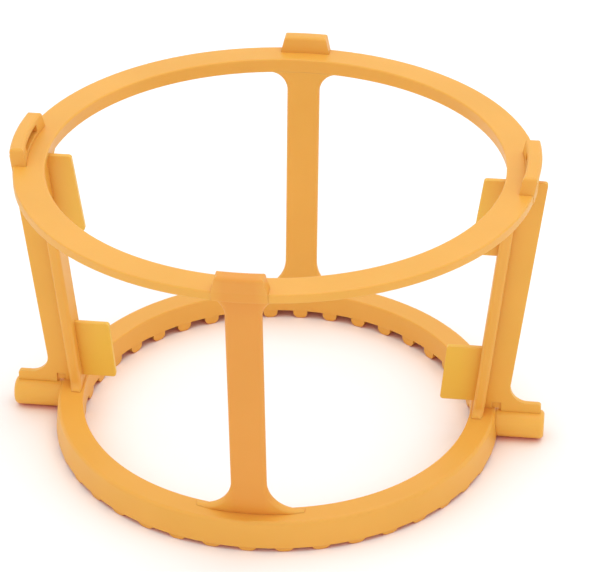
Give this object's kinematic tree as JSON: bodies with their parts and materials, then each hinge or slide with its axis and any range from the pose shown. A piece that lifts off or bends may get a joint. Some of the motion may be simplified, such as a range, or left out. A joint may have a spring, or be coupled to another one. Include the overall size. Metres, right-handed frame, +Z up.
{
  "type": "double sieve strainer cage",
  "caption": "Open moulded cage for two stacked sieves: a flanged ring on leaning posts over a knobbed base ring, with side webs, lugs, rim tabs and round stubs.",
  "frame": {"origin": "on the floor, at the centre of the two rings", "axes": "+Z up, +X along the two stubs towards the right stub, +Y towards the back post"},
  "size_m": [0.2802, 0.2626, 0.1633],
  "materials": {
    "orange_plastic": "semi-gloss moulded orange plastic"
  },
  "bodies": {
    "root": {"top_ring": "orange_plastic", "bottom_ring": "orange_plastic", "front_post": "orange_plastic", "back_post": "orange_plastic", "left_post": "orange_plastic", "right_post": "orange_plastic", "left_web": "orange_plastic", "right_web": "orange_plastic", "left_stub": "orange_plastic", "right_stub": "orange_plastic", "front_tab": "orange_plastic", "back_tab": "orange_plastic", "left_tab": "orange_plastic", "right_tab": "orange_plastic"}
  },
  "joints": []
}
